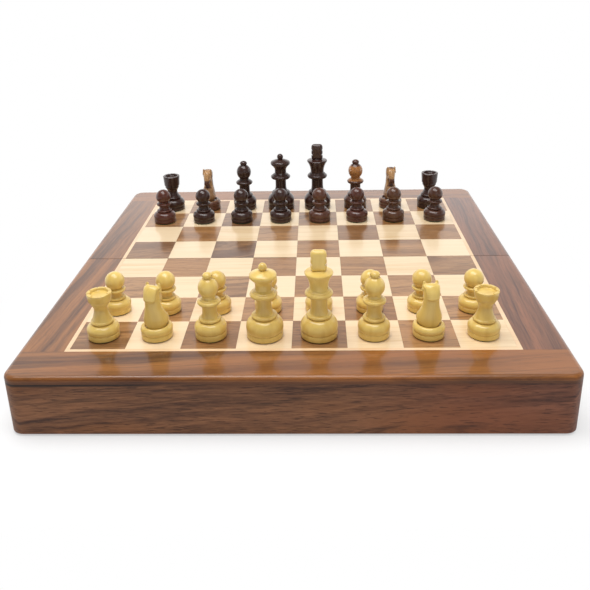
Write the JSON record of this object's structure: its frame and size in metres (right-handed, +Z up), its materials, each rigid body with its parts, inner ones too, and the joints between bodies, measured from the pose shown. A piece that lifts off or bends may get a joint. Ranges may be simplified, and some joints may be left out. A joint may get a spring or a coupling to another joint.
{
  "type": "folding chess box",
  "caption": "Folding wooden chess box, opened flat as an inlaid board on two brass hinges, with felt-lined trays inside and a full set of turned pieces standing on their squares.",
  "frame": {"origin": "under the middle of the fold, at the lowest point of the hinges, with the box opened flat on a table", "axes": "+X across the board from file a to file h, +Y away from the white side, +Z up"},
  "size_m": [0.305, 0.3056, 0.092],
  "materials": {
    "rosewood_wall": "lacquered dark rosewood",
    "rosewood_plank": "gloss lacquered rosewood, grain along each plank",
    "dark_veneer": "gloss lacquered dark squares, grain across the board",
    "light_veneer": "gloss lacquered maple squares",
    "inlay_strip": "pale strip, lacquered",
    "plywood": "plain birch panel",
    "green_felt": "dark green felt",
    "brass": "small brass hinge",
    "magnet_steel": "nickel plated magnet",
    "boxwood": "polished yellow boxwood",
    "rosewood_piece": "polished dark red-brown rosewood"
  },
  "bodies": {
    "base_half": {"base_outer_wall": "rosewood_wall", "base_side_walls": "rosewood_wall", "base_hinge_wall": "rosewood_wall", "base_deck": "plywood", "base_planks": "rosewood_plank", "base_inlay": "inlay_strip", "base_dark_squares": "dark_veneer", "base_light_squares": "light_veneer", "base_felt": "green_felt", "base_dividers": "green_felt", "base_magnets": "magnet_steel", "hinge_base_leaves": "brass", "hinge_pins": "brass", "hinge_base_screws": "brass"},
    "lid_half": {"lid_outer_wall": "rosewood_wall", "lid_side_walls": "rosewood_wall", "lid_hinge_wall": "rosewood_wall", "lid_deck": "plywood", "lid_planks": "rosewood_plank", "lid_inlay": "inlay_strip", "lid_dark_squares": "dark_veneer", "lid_light_squares": "light_veneer", "lid_felt": "green_felt", "lid_dividers": "green_felt", "lid_magnets": "magnet_steel", "hinge_lid_leaves": "brass", "hinge_lid_screws": "brass"},
    "white_rook_a": {"white_rook_a": "boxwood"},
    "white_knight_b": {"white_knight_b": "boxwood"},
    "white_bishop_c": {"white_bishop_c": "boxwood"},
    "white_queen": {"white_queen": "boxwood"},
    "white_king": {"white_king": "boxwood"},
    "white_bishop_f": {"white_bishop_f": "boxwood"},
    "white_knight_g": {"white_knight_g": "boxwood"},
    "white_rook_h": {"white_rook_h": "boxwood"},
    "white_pawn_a": {"white_pawn_a": "boxwood"},
    "white_pawn_b": {"white_pawn_b": "boxwood"},
    "white_pawn_c": {"white_pawn_c": "boxwood"},
    "white_pawn_d": {"white_pawn_d": "boxwood"},
    "white_pawn_e": {"white_pawn_e": "boxwood"},
    "white_pawn_f": {"white_pawn_f": "boxwood"},
    "white_pawn_g": {"white_pawn_g": "boxwood"},
    "white_pawn_h": {"white_pawn_h": "boxwood"},
    "black_rook_a": {"black_rook_a": "rosewood_piece"},
    "black_knight_b": {"black_knight_b": "rosewood_piece"},
    "black_bishop_c": {"black_bishop_c": "rosewood_piece"},
    "black_queen": {"black_queen": "rosewood_piece"},
    "black_king": {"black_king": "rosewood_piece"},
    "black_bishop_f": {"black_bishop_f": "rosewood_piece"},
    "black_knight_g": {"black_knight_g": "rosewood_piece"},
    "black_rook_h": {"black_rook_h": "rosewood_piece"},
    "black_pawn_a": {"black_pawn_a": "rosewood_piece"},
    "black_pawn_b": {"black_pawn_b": "rosewood_piece"},
    "black_pawn_c": {"black_pawn_c": "rosewood_piece"},
    "black_pawn_d": {"black_pawn_d": "rosewood_piece"},
    "black_pawn_e": {"black_pawn_e": "rosewood_piece"},
    "black_pawn_f": {"black_pawn_f": "rosewood_piece"},
    "black_pawn_g": {"black_pawn_g": "rosewood_piece"},
    "black_pawn_h": {"black_pawn_h": "rosewood_piece"}
  },
  "joints": [
    {"name": "lid_hinge", "type": "hinge", "parent": "base_half", "child": "lid_half", "pos_m": [0, 0, 0.00125], "axis": [-1, 0, 0], "range_deg": [0, 180]},
    {"name": "lift_white_rook_a", "type": "slide", "parent": "base_half", "child": "white_rook_a", "axis": [0, 0, 1], "range_m": [0, 0.06]},
    {"name": "lift_white_knight_b", "type": "slide", "parent": "base_half", "child": "white_knight_b", "axis": [0, 0, 1], "range_m": [0, 0.06]},
    {"name": "lift_white_bishop_c", "type": "slide", "parent": "base_half", "child": "white_bishop_c", "axis": [0, 0, 1], "range_m": [0, 0.06]},
    {"name": "lift_white_queen", "type": "slide", "parent": "base_half", "child": "white_queen", "axis": [0, 0, 1], "range_m": [0, 0.06]},
    {"name": "lift_white_king", "type": "slide", "parent": "base_half", "child": "white_king", "axis": [0, 0, 1], "range_m": [0, 0.06]},
    {"name": "lift_white_bishop_f", "type": "slide", "parent": "base_half", "child": "white_bishop_f", "axis": [0, 0, 1], "range_m": [0, 0.06]},
    {"name": "lift_white_knight_g", "type": "slide", "parent": "base_half", "child": "white_knight_g", "axis": [0, 0, 1], "range_m": [0, 0.06]},
    {"name": "lift_white_rook_h", "type": "slide", "parent": "base_half", "child": "white_rook_h", "axis": [0, 0, 1], "range_m": [0, 0.06]},
    {"name": "lift_white_pawn_a", "type": "slide", "parent": "base_half", "child": "white_pawn_a", "axis": [0, 0, 1], "range_m": [0, 0.06]},
    {"name": "lift_white_pawn_b", "type": "slide", "parent": "base_half", "child": "white_pawn_b", "axis": [0, 0, 1], "range_m": [0, 0.06]},
    {"name": "lift_white_pawn_c", "type": "slide", "parent": "base_half", "child": "white_pawn_c", "axis": [0, 0, 1], "range_m": [0, 0.06]},
    {"name": "lift_white_pawn_d", "type": "slide", "parent": "base_half", "child": "white_pawn_d", "axis": [0, 0, 1], "range_m": [0, 0.06]},
    {"name": "lift_white_pawn_e", "type": "slide", "parent": "base_half", "child": "white_pawn_e", "axis": [0, 0, 1], "range_m": [0, 0.06]},
    {"name": "lift_white_pawn_f", "type": "slide", "parent": "base_half", "child": "white_pawn_f", "axis": [0, 0, 1], "range_m": [0, 0.06]},
    {"name": "lift_white_pawn_g", "type": "slide", "parent": "base_half", "child": "white_pawn_g", "axis": [0, 0, 1], "range_m": [0, 0.06]},
    {"name": "lift_white_pawn_h", "type": "slide", "parent": "base_half", "child": "white_pawn_h", "axis": [0, 0, 1], "range_m": [0, 0.06]},
    {"name": "lift_black_rook_a", "type": "slide", "parent": "lid_half", "child": "black_rook_a", "axis": [0, 0, 1], "range_m": [0, 0.06]},
    {"name": "lift_black_knight_b", "type": "slide", "parent": "lid_half", "child": "black_knight_b", "axis": [0, 0, 1], "range_m": [0, 0.06]},
    {"name": "lift_black_bishop_c", "type": "slide", "parent": "lid_half", "child": "black_bishop_c", "axis": [0, 0, 1], "range_m": [0, 0.06]},
    {"name": "lift_black_queen", "type": "slide", "parent": "lid_half", "child": "black_queen", "axis": [0, 0, 1], "range_m": [0, 0.06]},
    {"name": "lift_black_king", "type": "slide", "parent": "lid_half", "child": "black_king", "axis": [0, 0, 1], "range_m": [0, 0.06]},
    {"name": "lift_black_bishop_f", "type": "slide", "parent": "lid_half", "child": "black_bishop_f", "axis": [0, 0, 1], "range_m": [0, 0.06]},
    {"name": "lift_black_knight_g", "type": "slide", "parent": "lid_half", "child": "black_knight_g", "axis": [0, 0, 1], "range_m": [0, 0.06]},
    {"name": "lift_black_rook_h", "type": "slide", "parent": "lid_half", "child": "black_rook_h", "axis": [0, 0, 1], "range_m": [0, 0.06]},
    {"name": "lift_black_pawn_a", "type": "slide", "parent": "lid_half", "child": "black_pawn_a", "axis": [0, 0, 1], "range_m": [0, 0.06]},
    {"name": "lift_black_pawn_b", "type": "slide", "parent": "lid_half", "child": "black_pawn_b", "axis": [0, 0, 1], "range_m": [0, 0.06]},
    {"name": "lift_black_pawn_c", "type": "slide", "parent": "lid_half", "child": "black_pawn_c", "axis": [0, 0, 1], "range_m": [0, 0.06]},
    {"name": "lift_black_pawn_d", "type": "slide", "parent": "lid_half", "child": "black_pawn_d", "axis": [0, 0, 1], "range_m": [0, 0.06]},
    {"name": "lift_black_pawn_e", "type": "slide", "parent": "lid_half", "child": "black_pawn_e", "axis": [0, 0, 1], "range_m": [0, 0.06]},
    {"name": "lift_black_pawn_f", "type": "slide", "parent": "lid_half", "child": "black_pawn_f", "axis": [0, 0, 1], "range_m": [0, 0.06]},
    {"name": "lift_black_pawn_g", "type": "slide", "parent": "lid_half", "child": "black_pawn_g", "axis": [0, 0, 1], "range_m": [0, 0.06]},
    {"name": "lift_black_pawn_h", "type": "slide", "parent": "lid_half", "child": "black_pawn_h", "axis": [0, 0, 1], "range_m": [0, 0.06]}
  ]
}
